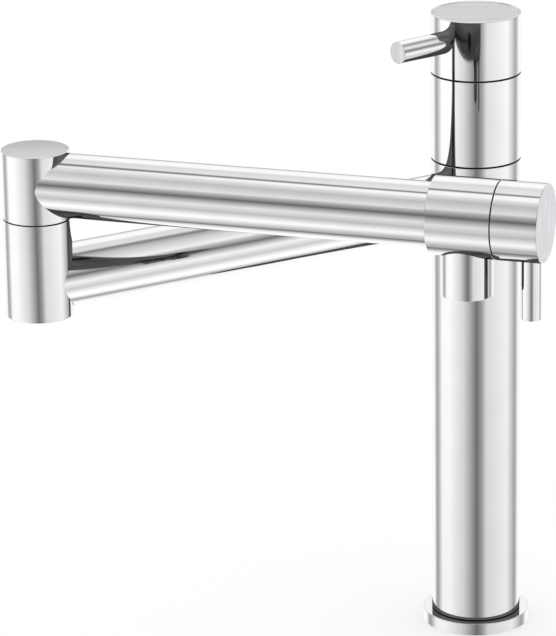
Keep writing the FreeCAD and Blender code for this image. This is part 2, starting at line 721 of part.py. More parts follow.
def aerator_housing():
    low = outlet_low_z + AERATOR_RECESS
    outer = AERATOR_DIAMETER / 2 - SCREWED
    body = tube(outer, outer - AERATOR_WALL, low, aerator_high_z, EDGE_CHAMFER, 0)
    ledge = tube(outer, outer - 1.5 * AERATOR_WALL, low + EDGE_CHAMFER, low + AERATOR_WALL)
    return at_outlet(body.fuse(ledge).removeSplitter())


def aerator_insert():
    low = outlet_low_z + AERATOR_RECESS + AERATOR_WALL
    high = low + AERATOR_INSERT_HEIGHT
    hole_r = AERATOR_HOLE_DIAMETER / 2
    body = rod(AERATOR_DIAMETER / 2 - SCREWED - AERATOR_WALL, low, high)
    holes = [hole(hole_r, low - 1, high + 1)]
    for ring in (1, 2):
        for step in range(6 * ring):
            angle = 2 * math.pi * step / (6 * ring)
            distance = ring * AERATOR_HOLE_PITCH
            x = distance * math.cos(angle)
            y = distance * math.sin(angle)
            holes.append(hole(hole_r, low - 1, high + 1, x, y))
    return at_outlet(body.cut(Part.makeCompound(holes)))


# Shut-off knob, built with its lever hanging down

def valve_moving_disc():
    return on_front_arm(valve_disc(moving_disc_x))


def headwork_spindle():
    plate_end = spindle_plate_x + VALVE_SPINDLE_PLATE
    plate = bar(HEADWORK_CAVITY_DIAMETER / 2, spindle_plate_x, plate_end, front_z)
    radius = VALVE_SPINDLE_DIAMETER / 2
    stem = bar(radius, spindle_plate_x, valve_lever_x + KNOB_SCREW_DIAMETER / 2, front_z, 0, EDGE_CHAMFER)
    return on_front_arm(plate.fuse(stem).removeSplitter())


def drop_bar(radius, start, end, end_chamfer=0.0):
    """Cylinder that hangs from the knob's axis, between two distances below it."""
    shape = rod(radius, front_z - end, front_z - start, end_chamfer, 0)
    shape.translate(V(valve_lever_x, 0, 0))
    return shape


def knob_shell():
    pocket_end = knob_high_x - KNOB_WALL
    body = bar(valve_r, knob_low_x, knob_high_x, front_z, EDGE_CHAMFER / 2, EDGE_CHAMFER)
    pocket = bar(valve_r - KNOB_WALL, knob_low_x - 1, pocket_end, front_z)
    boss_x = neck_high_x + AXIAL_PLAY
    boss = bar(KNOB_BOSS_DIAMETER / 2, boss_x, pocket_end, front_z)
    lever_boss = drop_bar(VALVE_LEVER_DIAMETER / 2 + LEVER_BOSS_WALL, 0, valve_r - KNOB_WALL / 2)
    body = body.cut(pocket.cut(boss).cut(lever_boss))
    stem_end = valve_lever_x + KNOB_SCREW_DIAMETER / 2
    body = body.cut(bar(VALVE_SPINDLE_DIAMETER / 2, boss_x - 1, stem_end, front_z))
    seat = valve_r - KNOB_LEVER_SEAT
    body = body.cut(drop_bar(KNOB_SCREW_DIAMETER / 2, 0, seat))
    return on_front_arm(body.cut(drop_bar(VALVE_LEVER_DIAMETER / 2, seat, valve_r + 1)).removeSplitter())


def knob_grub_screw():
    start = VALVE_SPINDLE_DIAMETER / 2
    return on_front_arm(drop_bar(KNOB_SCREW_DIAMETER / 2, start, start + KNOB_SCREW_LENGTH))


def valve_lever():
    seat = valve_r - KNOB_LEVER_SEAT
    pin = drop_bar(VALVE_LEVER_DIAMETER / 2, seat, VALVE_LEVER_REACH, EDGE_CHAMFER)
    tail_start = VALVE_SPINDLE_DIAMETER / 2 + KNOB_SCREW_LENGTH
    return on_front_arm(pin.fuse(drop_bar(KNOB_SCREW_DIAMETER / 2, tail_start, seat)).removeSplitter())


NODES = [
    base_flange, base_gasket, column_foot, threaded_shank, deck_rubber_washer, deck_clamp_washer, backnut,
    column_tube, cold_riser_tube, hot_riser_tube, swivel_spindle, collar_o_rings, lower_slide_bush,
    upper_slide_bush, mixer_body, cartridge_base, cartridge_seals, fixed_ceramic_disc, cartridge_housing,
    cartridge_nut, handle_slide_ring,
    moving_ceramic_disc, cartridge_stem, handle_cap, handle_grub_screw, handle_lever,
    swivel_collar, rear_tube, lower_elbow, lower_elbow_plug, plug_o_ring, pivot_slide_washer,
    upper_elbow, elbow_cap, elbow_cap_o_ring, elbow_pivot, pivot_o_rings, pivot_thrust_washer, pivot_nut,
    front_tube, valve_body, headwork_body, headwork_seal, valve_fixed_disc, knob_slide_ring, outlet_nozzle,
    aerator_washer, aerator_housing, aerator_insert,
    valve_moving_disc, headwork_spindle, knob_shell, knob_grub_screw, valve_lever,
]

os.makedirs("parts", exist_ok=True)
for make in NODES:
    shape = make()
    shape.exportStep("parts/" + make.__name__ + ".step")
    print(f"{make.__name__}: {len(shape.Solids)} solids, {shape.Volume:.0f} mm3, valid {shape.isValid()}")
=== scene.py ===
import json
import math

import bmesh
import bpy
from mathutils import Matrix, Vector


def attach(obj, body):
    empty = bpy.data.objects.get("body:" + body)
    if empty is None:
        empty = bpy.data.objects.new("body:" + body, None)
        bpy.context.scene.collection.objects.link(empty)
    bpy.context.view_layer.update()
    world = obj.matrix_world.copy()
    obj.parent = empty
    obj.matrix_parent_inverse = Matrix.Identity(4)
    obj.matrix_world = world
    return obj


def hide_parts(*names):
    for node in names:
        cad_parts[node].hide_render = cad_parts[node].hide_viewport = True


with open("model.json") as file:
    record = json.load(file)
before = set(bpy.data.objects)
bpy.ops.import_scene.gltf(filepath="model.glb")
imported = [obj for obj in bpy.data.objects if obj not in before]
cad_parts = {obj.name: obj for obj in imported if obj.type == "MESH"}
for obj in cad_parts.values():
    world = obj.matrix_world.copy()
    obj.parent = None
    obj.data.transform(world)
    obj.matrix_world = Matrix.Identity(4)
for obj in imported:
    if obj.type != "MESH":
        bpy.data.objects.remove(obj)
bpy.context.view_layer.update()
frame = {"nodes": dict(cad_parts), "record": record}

# Kitchen tap with a two-jointed swivel spout. Sizes are in millimetres, +Z up, with the deck at z = 0.
# The column stands on the origin, and -Y is towards a person at the sink.
MM = 0.001

# Clearance of screwed and pressed fits
SCREWED = 0.05
# How far a cutting tool starts outside a wall, reaches into the next hole, and starts behind the valve
CLEAR = 3.0
OVERCUT = 1.0
TOOL_START = 5.0

# Column, from the deck up
COLUMN_R = 25.0
COLUMN_BORE = 23.0
FLANGE_R = 30.0
FLANGE_TOP = 7.0
FOOT_SPIGOT_R = 20.0
FOOT_TOP = 36.0
GASKET = (24.0, 28.0)
GASKET_THICKNESS = 1.5
REAR_Z = 251.0
HALF_COLLAR = 23.5
LOWER_SEAM = REAR_Z - HALF_COLLAR
UPPER_SEAM = REAR_Z + HALF_COLLAR
HANDLE_SEAM = UPPER_SEAM + 49.0
TOP = HANDLE_SEAM + 33.5
HALF_SEAM = 0.45
SLIDE_RING = 0.8
RING_INSET = 1.0
SLIDE_RING_R = COLUMN_R - RING_INSET
SPINDLE_R = 17.0
CHANNEL_R = 19.5
HALF_CHANNEL = 5.0
MIXED_PORT_R = 4.5
SPIGOT_R = 15.05
CARTRIDGE_R = 17.55
CARTRIDGE_NUT_R = 20.0
CARTRIDGE_RECESS = 11.2
CARTRIDGE_HEIGHT = 25.0
BUSH_R = 20.0
BUSH_LENGTH = 6.0
BUSH_PLAY = 0.1
BUSH_REACH = 2 * HALF_SEAM + BUSH_LENGTH - BUSH_PLAY

# Arms and elbow
ARM_R = 17.0
ARM_BORE = 15.0
REAR_ARM_LENGTH = 275.5
REAR_ARM_ANGLE = 210.9
FRONT_ARM_ANGLE = -18.2
FRONT_Z = REAR_Z + 53.2
ELBOW_R = 18.0
ELBOW_BORE = 15.0
ELBOW_END = 18.4
ELBOW_FOOT = REAR_Z - ELBOW_END
ELBOW_SEAM = FRONT_Z - ELBOW_END
ELBOW_TOP = FRONT_Z + ELBOW_END
HALF_ARM_SEAM = 0.3
ARM_SLIDE_RING = 0.5
ELBOW_RIM = 1.0
ELBOW_CAP = 4.0
ELBOW_PLUG = 6.0
PIVOT_R = 12.0
PIVOT_ROOT = 6.0
ELBOW_PORT_R = 11.0
SEAL_GROOVE = 2.6
SEAL_GROOVE_DEPTH = 2.0
# The slot's length as a share of the plug's radius, its width and depth, and its tool's start below the plug
PLUG_SLOT_SHARE = 1.2
PLUG_SLOT_WIDTH = 2.0
PLUG_SLOT_DEPTH = 1.5
PLUG_SLOT_START = 0.5

# Valve, knob and outlet, measured along the front arm from the elbow's axis
OUTLET_X = 233.4
VALVE_R = 20.5
HALF_VALVE = 17.1
VALVE_LOW = OUTLET_X - HALF_VALVE
KNOB_SEAM = OUTLET_X + HALF_VALVE
KNOB_END = KNOB_SEAM + 24.3
TUBE_END = VALVE_LOW + 8.0
OUTLET_R = 13.5
OUTLET_FOOT = FRONT_Z - 40.8
OUTLET_BORE = 8.0
OUTLET_PORT_R = 7.0
OUTLET_PORT_DEPTH = 9.0
AERATOR_BORE = 12.0
AERATOR_SOCKET = 12.4
AERATOR_R = AERATOR_BORE - SCREWED
AERATOR_RECESS = 0.4
AERATOR_WALL = 2.0
AERATOR_LENGTH = 10.0
GRID_HEIGHT = 5.0
GRID_HOLE_R = 1.1
GRID_PITCH = 3.4
GRID_RINGS = 3
HEADWORK_R = 11.0
HEADWORK_FLANGE_R = 13.0
HEADWORK_FLANGE = 4.0
VALVE_WEB = 4.0
VALVE_SEAT_R = 6.0
VALVE_LEVER_X = KNOB_END - 7.7
VALVE_LEVER_R = 5.3
VALVE_LEVER_SEAT = VALVE_R - 6.0
VALVE_LEVER_REACH = 51.2
VALVE_STUD_R = 2.5
VALVE_STUD_END = 9.0
KNOB_WALL = 3.0
KNOB_SPINDLE_R = 4.0
KNOB_BOSS_R = 8.0
KNOB_BOSS_RECESS = 4.5

# Handle
HANDLE_ANGLE = -140.4
HANDLE_Z = TOP - 13.3
HANDLE_LEVER_R = 6.15
CAP_RIM = 1.2
CAP_DISC_SINK = 0.25
CAP_WALL = 3.0
CAP_BORE = 22.0
CAP_BOSS_R = 11.0
STEM_R = 6.0
HANDLE_LEVER_REACH = 57.5
HANDLE_LEVER_SEAT = 20.0
HANDLE_STUD_END = 14.0
HANDLE_STUD_R = 3.0

# Fixing below the deck
SHANK_R = 16.5
SHANK_BORE = 14.0
SHANK_LOW = -56.0
SHANK_HIGH = 14.0
INLET_X = 7.0
INLET_THREAD_R = 4.5
INLET_TOP = SHANK_HIGH + 12.0
INLET_WEB_R = 3.0
RISER_LOW = INLET_TOP + 2.0
RISER_R = 5.0
THREAD_PITCH = 1.5
THREAD_DEPTH = 0.9
THREAD_ROWS = 6
WASHER_R = 24.0
DECK_UNDERSIDE = -38.0
WASHER_THICKNESS = 2.0
NUT_FLATS = 41.0
NUT_LOW = -51.0
NUT_HIGH = -42.0
NUT_CORNER = 1.6
NUT_CORNER_HEIGHT = 1.0
NUT_MARGIN = 0.1
NUT_CUT = 10.0

# Edge breaks
SOFT_EDGE = 0.4
FOOT_EDGE = 0.9
SEAM_EDGE = 0.2
TOP_EDGE = 0.5
INNER_EDGE = 0.1

# How finely round pieces are divided
FACETS = 160
SMALL_FACETS = 72
TINY_FACETS = 16
ROUNDING_STEPS = 3
TURNING_RADIUS = 10.0
WELD = 0.001
SHARP_DEGREES = 32
# The thread is cut where the radius is above this share of the wall's
ON_WALL = 0.995
# A face belongs to a flat end if it faces this squarely and lies no further behind it than this
FACING = 0.999
BEHIND = 0.01


# Where the moving groups stand at rest

def turned_about_z(degrees):
    return Matrix.Rotation(math.radians(degrees), 4, "Z")


def moved(x, y, z):
    return Matrix.Translation(Vector((x, y, z)) * MM)


UPRIGHT = Matrix.Identity(4)
LEVEL = Matrix.Rotation(math.radians(90), 4, "Y")
ON_HANDLE = turned_about_z(HANDLE_ANGLE)
ON_REAR_ARM = turned_about_z(REAR_ARM_ANGLE)
AT_ELBOW = ON_REAR_ARM @ moved(REAR_ARM_LENGTH, 0, 0)
ON_FRONT_ARM = Matrix.Translation(AT_ELBOW.translation) @ turned_about_z(FRONT_ARM_ANGLE)
AT_OUTLET = ON_FRONT_ARM @ moved(OUTLET_X, 0, 0)
ALONG_FRONT_ARM = ON_FRONT_ARM @ moved(0, 0, FRONT_Z) @ LEVEL
VALVE_LEVER_PLACE = ON_FRONT_ARM @ moved(VALVE_LEVER_X, 0, FRONT_Z)


# Arithmetic and colour steps in node trees

def number(tree, operation, first, second=None):
    """One arithmetic step. Each side is a socket or a plain number."""
    node = tree.nodes.new("ShaderNodeMath")
    node.operation = operation
    for slot, value in enumerate((first, second)):
        if value is None:
            continue
        if isinstance(value, (int, float)):
            node.inputs[slot].default_value = value
        else:
            tree.links.new(value, node.inputs[slot])
    return node.outputs["Value"]


def between(tree, value, low, high):
    """Rises from 0 to 1 while the value goes from low to high."""
    node = tree.nodes.new("ShaderNodeMapRange")
    node.inputs["From Min"].default_value = low
    node.inputs["From Max"].default_value = high
    tree.links.new(value, node.inputs["Value"])
    return node.outputs["Result"]


def mixed(tree, share, first, second, operation="MIX"):
    """Blends two colours. Each is a socket, a grey level or a colour."""
    node = tree.nodes.new("ShaderNodeMix")
    node.data_type = "RGBA"
    node.blend_type = operation
    if isinstance(share, float):
        node.inputs[0].default_value = share
    else:
        tree.links.new(share, node.inputs[0])
    for socket, value in ((node.inputs[6], first), (node.inputs[7], second)):
        if isinstance(value, float):
            socket.default_value = (value, value, value, 1)
        elif isinstance(value, tuple):
            socket.default_value = (*value, 1)
        else:
            tree.links.new(value, socket)
    return node.outputs[2]


# Finishes

def new_finish(name, metallic=0.0, roughness=0.5):
    material = bpy.data.materials.new(name)
    material.use_nodes = True
    shader = material.node_tree.nodes["Principled BSDF"]
    shader.inputs["Metallic"].default_value = metallic
    shader.inputs["Roughness"].default_value = roughness
    return material, shader


# Cycles per metre along x, y and z, dark and light colour, roughness from and to, and relief in mm
POLISH_HAZE = (45, 45, 45)
POLISH_GRAIN = (900, 900, 900)
POLISH_WAVES = (70, 70, 70)
POLISH_COLOURS = ((0.93, 0.93, 0.94), (0.97, 0.97, 0.975))
POLISH_ROUGHNESS = (0.035, 0.06)
POLISH_RELIEF = 0.002
SATIN_LINES = (60, 2600, 60)
SATIN_STREAKS = (18, 420, 60)
SATIN_COLOURS = ((0.735, 0.735, 0.74), (0.86, 0.86, 0.865))
SATIN_ROUGHNESS = (0.26, 0.40)
SATIN_RELIEF = 0.003
# How bright the painted shade leaves the back of the elbow's satin disc, beside its front
PAINTED_SHADE_BACK = 0.72
# Cast finishes: grains that a cloud of colour spans, and how far the roughness strays either way
CLOUD_GRAINS = 12
ROUGHNESS_STRAY = 0.06
# The stretch of a noise, from 0 to 1, over which it takes effect
NOISE_LOW, NOISE_HIGH = 0.3, 0.7


def surface_place(tree):
    return tree.nodes.new("ShaderNodeTexCoord").outputs["Object"]


def surface_noise(tree, stretch, detail=3.0):
    """Noise on the piece's own coordinates. Stretch is cycles per metre along x, y and z."""
    mapping = tree.nodes.new("ShaderNodeMapping")
    noise = tree.nodes.new("ShaderNodeTexNoise")
    mapping.inputs["Scale"].default_value = stretch
    noise.inputs["Scale"].default_value = 1.0
    noise.inputs["Detail"].default_value = detail
    tree.links.new(surface_place(tree), mapping.inputs["Vector"])
    tree.links.new(mapping.outputs["Vector"], noise.inputs["Vector"])
    return noise.outputs["Fac"]


def vary_colour(tree, shader, noise, dark, light, painted_shade=1.0):
    blend = tree.nodes.new("ShaderNodeValToRGB")
    low, high = blend.color_ramp.elements
    low.position, low.color = NOISE_LOW, (*dark, 1)
    high.position, high.color = NOISE_HIGH, (*light, 1)
    tree.links.new(noise, blend.inputs["Fac"])
    # Where a painted shade is given, the colour is multiplied by it
    colour = mixed(tree, 1.0, blend.outputs["Color"], painted_shade, "MULTIPLY")
    tree.links.new(colour, shader.inputs["Base Color"])


def vary_roughness(tree, shader, noise, low, high):
    spread = tree.nodes.new("ShaderNodeMapRange")
    spread.inputs["From Min"].default_value = NOISE_LOW
    spread.inputs["From Max"].default_value = NOISE_HIGH
    spread.inputs["To Min"].default_value = low
    spread.inputs["To Max"].default_value = high
    tree.links.new(noise, spread.inputs["Value"])
    tree.links.new(spread.outputs["Result"], shader.inputs["Roughness"])


def add_relief(tree, shader, noise, depth_mm):
    bump = tree.nodes.new("ShaderNodeBump")
    bump.inputs["Strength"].default_value = 1.0
    bump.inputs["Distance"].default_value = depth_mm * MM
    tree.links.new(noise, bump.inputs["Height"])
    tree.links.new(bump.outputs["Normal"], shader.inputs["Normal"])


def polished_chrome():
    """Bright plating, nearly a mirror, with faint wiping haze and the slight waviness of polished tube."""
    material, shader = new_finish("polished_chrome", 1.0)
    tree = material.node_tree
    vary_colour(tree, shader, surface_noise(tree, POLISH_HAZE, 6.0), *POLISH_COLOURS)
    vary_roughness(tree, shader, surface_noise(tree, POLISH_GRAIN, 2.0), *POLISH_ROUGHNESS)
    add_relief(tree, shader, surface_noise(tree, POLISH_WAVES, 1.0), POLISH_RELIEF)
    return material


def satin_chrome(name, back=None, front=None):
    """Brushed end faces: fine straight lines, soft reflections. Given two places in y, shade is painted
    towards the back.
    """
    material, shader = new_finish(name, 1.0)
    tree = material.node_tree
    painted_shade = 1.0
    if back is not None:
        parts = tree.nodes.new("ShaderNodeSeparateXYZ")
        tree.links.new(surface_place(tree), parts.inputs["Vector"])
        # Painted shade: the colour darkens from the front place to the back one
        painted_shade = mixed(tree, between(tree, parts.outputs["Y"], back, front), PAINTED_SHADE_BACK, 1.0)
    lines = surface_noise(tree, SATIN_LINES, 4.0)
    streaks = surface_noise(tree, SATIN_STREAKS)
    vary_colour(tree, shader, streaks, *SATIN_COLOURS, painted_shade)
    vary_roughness(tree, shader, lines, *SATIN_ROUGHNESS)
    add_relief(tree, shader, lines, SATIN_RELIEF)
    return material


def cast_finish(name, dark, light, metallic, roughness, grain_mm, relief_mm, shine=0.5):
    """Plain finishes that differ in colour, grain size, relief and shine."""
    material, shader = new_finish(name, metallic)
    tree = material.node_tree
    cycles = 1000.0 / grain_mm
    shader.inputs["Specular IOR Level"].default_value = shine
    cloud = surface_noise(tree, (cycles / CLOUD_GRAINS,) * 3, 4.0)
    grain = surface_noise(tree, (cycles,) * 3)
    vary_colour(tree, shader, cloud, dark, light)
    vary_roughness(tree, shader, grain, roughness - ROUGHNESS_STRAY, roughness + ROUGHNESS_STRAY)
    add_relief(tree, shader, grain, relief_mm)
    return material


# Dark and light colour, metallic, roughness, grain and relief in mm, and shine where it isn't the usual 0.5
CAST_FINISHES = {
    "raw_brass": ((0.62, 0.43, 0.17), (0.80, 0.58, 0.27), 1.0, 0.30, 0.8, 0.004),
    "copper_tube": ((0.70, 0.33, 0.20), (0.87, 0.46, 0.31), 1.0, 0.28, 1.2, 0.003),
    "steel": ((0.48, 0.48, 0.50), (0.64, 0.64, 0.65), 1.0, 0.32, 0.6, 0.004),
    "black_rubber": ((0.012, 0.012, 0.013), (0.028, 0.028, 0.029), 0.0, 0.62, 0.5, 0.01),
    "black_slide_plastic": ((0.008, 0.008, 0.009), (0.018, 0.018, 0.019), 0.0, 0.55, 0.4, 0.004, 0.12),
    "cartridge_plastic": ((0.60, 0.60, 0.58), (0.74, 0.74, 0.72), 0.0, 0.45, 0.5, 0.005),
    "white_ceramic": ((0.80, 0.80, 0.77), (0.90, 0.90, 0.88), 0.0, 0.22, 0.5, 0.001),
}
FINISHES = {name: cast_finish(name, *values) for name, values in CAST_FINISHES.items()}
FINISHES["polished_chrome"] = polished_chrome()
FINISHES["satin_chrome"] = satin_chrome("satin_chrome")
ELBOW_Y = AT_ELBOW.translation.y
# The elbow's top disc, with painted shade darkening its colour towards the back
FINISHES["elbow_satin"] = satin_chrome("elbow_satin_chrome", ELBOW_Y + ELBOW_R * MM, ELBOW_Y - ELBOW_R * MM)


# Making of turned pieces: an outline of corners is swept round the axis

def add_input(tree, name, kind, default=None):
    socket = tree.interface.new_socket(name, in_out="INPUT", socket_type=kind)
    if default is not None:
        socket.default_value = default


def start_tree(name, geometry_name):
    tree = bpy.data.node_groups.new(name, "GeometryNodeTree")
    add_input(tree, geometry_name, "NodeSocketGeometry")
    tree.interface.new_socket("Piece", in_out="OUTPUT", socket_type="NodeSocketGeometry")
    add_input(tree, "Finish", "NodeSocketMaterial")
    return tree, tree.nodes.new("NodeGroupInput")


def end_tree(tree, given, geometry):
    realize = tree.nodes.new("GeometryNodeRealizeInstances")
    finish = tree.nodes.new("GeometryNodeSetMaterial")
    result = tree.nodes.new("NodeGroupOutput")
    tree.links.new(geometry, realize.inputs["Geometry"])
    tree.links.new(realize.outputs["Geometry"], finish.inputs["Geometry"])
    tree.links.new(given.outputs["Finish"], finish.inputs["Material"])
    tree.links.new(finish.outputs["Geometry"], result.inputs["Piece"])


def turning_tree():
    """Rounds each corner of an outline by its own radius and sweeps it round the Z axis."""
    tree, given = start_tree("turned_piece", "Outline")
    add_input(tree, "Facets", "NodeSocketInt", FACETS)
    add_input(tree, "Rounding Steps", "NodeSocketInt", ROUNDING_STEPS)
    add_input(tree, "Turning Radius", "NodeSocketFloat", TURNING_RADIUS * MM)
    outline = tree.nodes.new("GeometryNodeMeshToCurve")
    rounding = tree.nodes.new("GeometryNodeInputNamedAttribute")
    rounding.inputs["Name"].default_value = "rounding"
    fillet = tree.nodes.new("GeometryNodeFilletCurve")
    fillet.mode = "POLY"
    fillet.inputs["Limit Radius"].default_value = True
    path = tree.nodes.new("GeometryNodeCurvePrimitiveCircle")
    sweep = tree.nodes.new("GeometryNodeCurveToMesh")
    merge = tree.nodes.new("GeometryNodeMergeByDistance")
    merge.inputs["Distance"].default_value = WELD * MM
    outwards = tree.nodes.new("GeometryNodeFlipFaces")
    link = tree.links.new
    link(given.outputs["Outline"], outline.inputs["Mesh"])
    link(outline.outputs["Curve"], fillet.inputs["Curve"])
    link(rounding.outputs["Attribute"], fillet.inputs["Radius"])
    link(given.outputs["Rounding Steps"], fillet.inputs["Count"])
    link(given.outputs["Facets"], path.inputs["Resolution"])
    link(given.outputs["Turning Radius"], path.inputs["Radius"])
    link(path.outputs["Curve"], sweep.inputs["Curve"])
    link(fillet.outputs["Curve"], sweep.inputs["Profile Curve"])
    link(sweep.outputs["Mesh"], merge.inputs["Geometry"])
    link(merge.outputs["Geometry"], outwards.inputs["Mesh"])
    end_tree(tree, given, outwards.outputs["Mesh"])
    return tree


def threading_tree():
    """Cuts a helical vee thread into the outer wall of a turned piece."""
    tree, given = start_tree("cut_thread", "Turned Piece")
    add_input(tree, "Wall Radius", "NodeSocketFloat", SHANK_R * MM)
    add_input(tree, "Pitch", "NodeSocketFloat", THREAD_PITCH * MM)
    add_input(tree, "Depth", "NodeSocketFloat", THREAD_DEPTH * MM)
    position = tree.nodes.new("GeometryNodeInputPosition")
    parts = tree.nodes.new("ShaderNodeSeparateXYZ")
    link = tree.links.new
    link(position.outputs["Position"], parts.inputs["Vector"])
    x, y, z = parts.outputs
    squares = [number(tree, "MULTIPLY", side, side) for side in (x, y)]
    radius = number(tree, "SQRT", number(tree, "ADD", *squares))
    around = number(tree, "DIVIDE", number(tree, "ARCTAN2", y, x), 2 * math.pi)
    climb = number(tree, "DIVIDE", z, given.outputs["Pitch"])
    wave = number(tree, "PINGPONG", number(tree, "SUBTRACT", climb, around), 0.5)
    groove = number(tree, "MULTIPLY", number(tree, "MULTIPLY", wave, 2.0), given.outputs["Depth"])
    share = number(tree, "DIVIDE", number(tree, "SUBTRACT", radius, groove), radius)
    threaded = tree.nodes.new("ShaderNodeCombineXYZ")
    link(number(tree, "MULTIPLY", x, share), threaded.inputs["X"])
    link(number(tree, "MULTIPLY", y, share), threaded.inputs["Y"])
    link(z, threaded.inputs["Z"])
    wall = number(tree, "MULTIPLY", given.outputs["Wall Radius"], ON_WALL)
    on_wall = number(tree, "GREATER_THAN", radius, wall)
    shape = tree.nodes.new("GeometryNodeSetPosition")
    link(given.outputs["Turned Piece"], shape.inputs["Geometry"])
    link(on_wall, shape.inputs["Selection"])
    link(threaded.outputs["Vector"], shape.inputs["Position"])
    end_tree(tree, given, shape.outputs["Geometry"])
    return tree


TURNING = turning_tree()
THREADING = threading_tree()


def set_inputs(modifier, **values):
    """Sets a node modifier's inputs by the identifiers of the sockets with these names."""
    for item in modifier.node_group.interface.items_tree:
        key = item.name.lower().replace(" ", "_")
        if item.in_out == "INPUT" and key in values:
            modifier[item.identifier] = values[key]


def add_tree(piece, tree, **values):
    modifier = piece.modifiers.new(tree.name, "NODES")
    modifier.node_group = tree
    set_inputs(modifier, **values)


def link_piece(name, mesh):
    piece = bpy.data.objects.new(name, mesh)
    bpy.context.scene.collection.objects.link(piece)
    return piece


def freeze(piece):
    """Turns what the modifiers make into the piece's plain mesh."""
    bpy.context.view_layer.update()
    seen = piece.evaluated_get(bpy.context.evaluated_depsgraph_get())
    mesh = bpy.data.meshes.new_from_object(seen)
    mesh.name = piece.name
    piece.modifiers.clear()
    piece.data = mesh
    return piece


def shade(piece):
    """Smooth curved walls with crisp edges: large faces rule the shading beside a rounded edge."""
    piece.data.shade_smooth()
    piece.data.set_sharp_from_angle(angle=math.radians(SHARP_DEGREES))
    weighted = piece.modifiers.new("even_shading", "WEIGHTED_NORMAL")
    weighted.keep_sharp = True
    weighted.weight = 100
    return freeze(piece)


def cylinder_walls(outer, low, high, bore=0.0, low_edge=SEAM_EDGE, high_edge=SEAM_EDGE):
    """Outline of a plain disc, rod, ring or tube."""
    inner_edge = INNER_EDGE if bore else 0.0
    return [(bore, low, inner_edge), (outer, low, low_edge),
            (outer, high, high_edge), (bore, high, inner_edge)]


def turn(name, outline, finish="polished_chrome", place=UPRIGHT, facets=FACETS, thread=False):
    """Turned piece from corners of (radius, height, rounding), put in its place."""
    corners = [(corner + (0.0,))[:3] for corner in outline]
    count = len(corners)
    mesh = bpy.data.meshes.new(name)
    points = [((radius - TURNING_RADIUS) * MM, -height * MM, 0.0) for radius, height, _ in corners]
    mesh.from_pydata(points, [(i, (i + 1) % count) for i in range(count)], [])
    rounding = mesh.attributes.new("rounding", "FLOAT", "POINT")
    rounding.data.foreach_set("value", [edge * MM for _, _, edge in corners])
    piece = link_piece(name, mesh)
    add_tree(piece, TURNING, finish=FINISHES[finish], facets=facets, rounding_steps=ROUNDING_STEPS,
             turning_radius=TURNING_RADIUS * MM)
    if thread:
        add_tree(piece, THREADING, finish=FINISHES[finish])
    freeze(piece)
    piece.data.transform(place)
    return piece


def cut(piece, tool):
    """Takes the tool's shape out of the piece."""
    boolean = piece.modifiers.new("cut", "BOOLEAN")
    boolean.operation = "DIFFERENCE"
    boolean.solver = "EXACT"
    boolean.object = tool
    freeze(piece)
    bpy.data.objects.remove(tool)
    return piece


def block(name, size, place):
    """Cutting tool with flat sides, size in millimetres."""
    shell = bmesh.new()
    bmesh.ops.create_cube(shell, size=MM)
    shell.transform(place @ Matrix.Diagonal((*size, 1)))
    mesh = bpy.data.meshes.new(name)
    shell.to_mesh(mesh)
    shell.free()
    return link_piece(name, mesh)


def drill(piece, radius, low, high, place=UPRIGHT, facets=SMALL_FACETS):
    """Round hole between two heights on the axis of its place."""
    walls = cylinder_walls(radius, low, high, 0.0, 0.0, 0.0)
    return cut(piece, turn("drill", walls, place=place, facets=facets))


def arm_tube(name, start_saddle, end, end_saddle, z, place):
    """Level tube that runs from one upright cylinder to another, or to a square end."""
    outer_start, outer_end, bore_end, bore_start = [], [], [], []
    for step in range(FACETS):
        angle = 2 * math.pi * step / FACETS
        for radius, starts, ends in ((ARM_R, outer_start, outer_end), (ARM_BORE, bore_start, bore_end)):
            y = radius * math.cos(angle)
            height = z + radius * math.sin(angle)
            low = math.sqrt(start_saddle ** 2 - y ** 2)
            high = end - math.sqrt(end_saddle ** 2 - y ** 2) if end_saddle else end
            starts.append(Vector((low, y, height)) * MM)
            ends.append(Vector((high, y, height)) * MM)
    shell = bmesh.new()
    rings = (outer_start, outer_end, bore_end, bore_start)
    loops = [[shell.verts.new(place @ point) for point in ring] for ring in rings]
    for near, far in zip(loops, loops[1:] + loops[:1]):
        for step in range(FACETS):
            following = (step + 1) % FACETS
            shell.faces.new((near[step], far[step], far[following], near[following]))
    bmesh.ops.recalc_face_normals(shell, faces=shell.faces)
    mesh = bpy.data.meshes.new(name)
    shell.to_mesh(mesh)
    shell.free()
    mesh.materials.append(FINISHES["polished_chrome"])
    return link_piece(name, mesh)


def satin_end(piece, centre, direction, reach):
    """Gives the flat end face its brushed finish."""
    piece.data.materials.append(FINISHES["satin_chrome"])
    for face in piece.data.polygons:
        facing = face.normal.dot(direction) > FACING
        ahead = (face.center - centre).dot(direction) > -BEHIND * MM
        inside = (face.center - centre).length < reach * MM
        if facing and ahead and inside:
            face.material_index = 1


def place_piece(piece, body, slot, *nodes):
    """Shades a finished piece and lets it stand for its nodes on its body."""
    shade(piece)
    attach(piece, body)
    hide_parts(*nodes)


# Column

